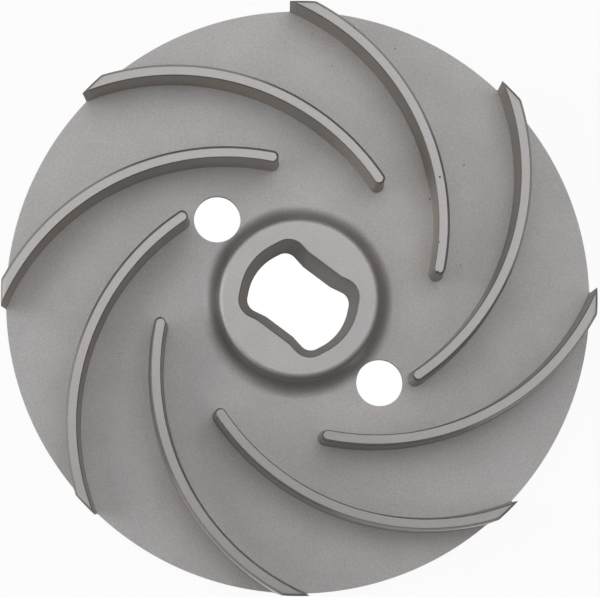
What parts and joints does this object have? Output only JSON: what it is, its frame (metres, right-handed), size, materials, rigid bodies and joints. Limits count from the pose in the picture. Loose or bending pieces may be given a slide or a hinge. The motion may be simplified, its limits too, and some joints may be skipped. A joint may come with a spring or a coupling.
{
  "type": "pump impeller",
  "caption": "Semi-open pump impeller: backward-curved vanes on a flat disc, low hub boss, two-flat drive bore and round through holes.",
  "frame": {"origin": "centre of the flat back face, on the rotation axis", "axes": "+Z along the rotation axis towards the vane side, +X along the two flats of the drive bore"},
  "size_m": [0.1502, 0.1502, 0.0216],
  "materials": {
    "cast_steel": "satin"
  },
  "bodies": {
    "root": {"impeller": "cast_steel"}
  },
  "joints": []
}
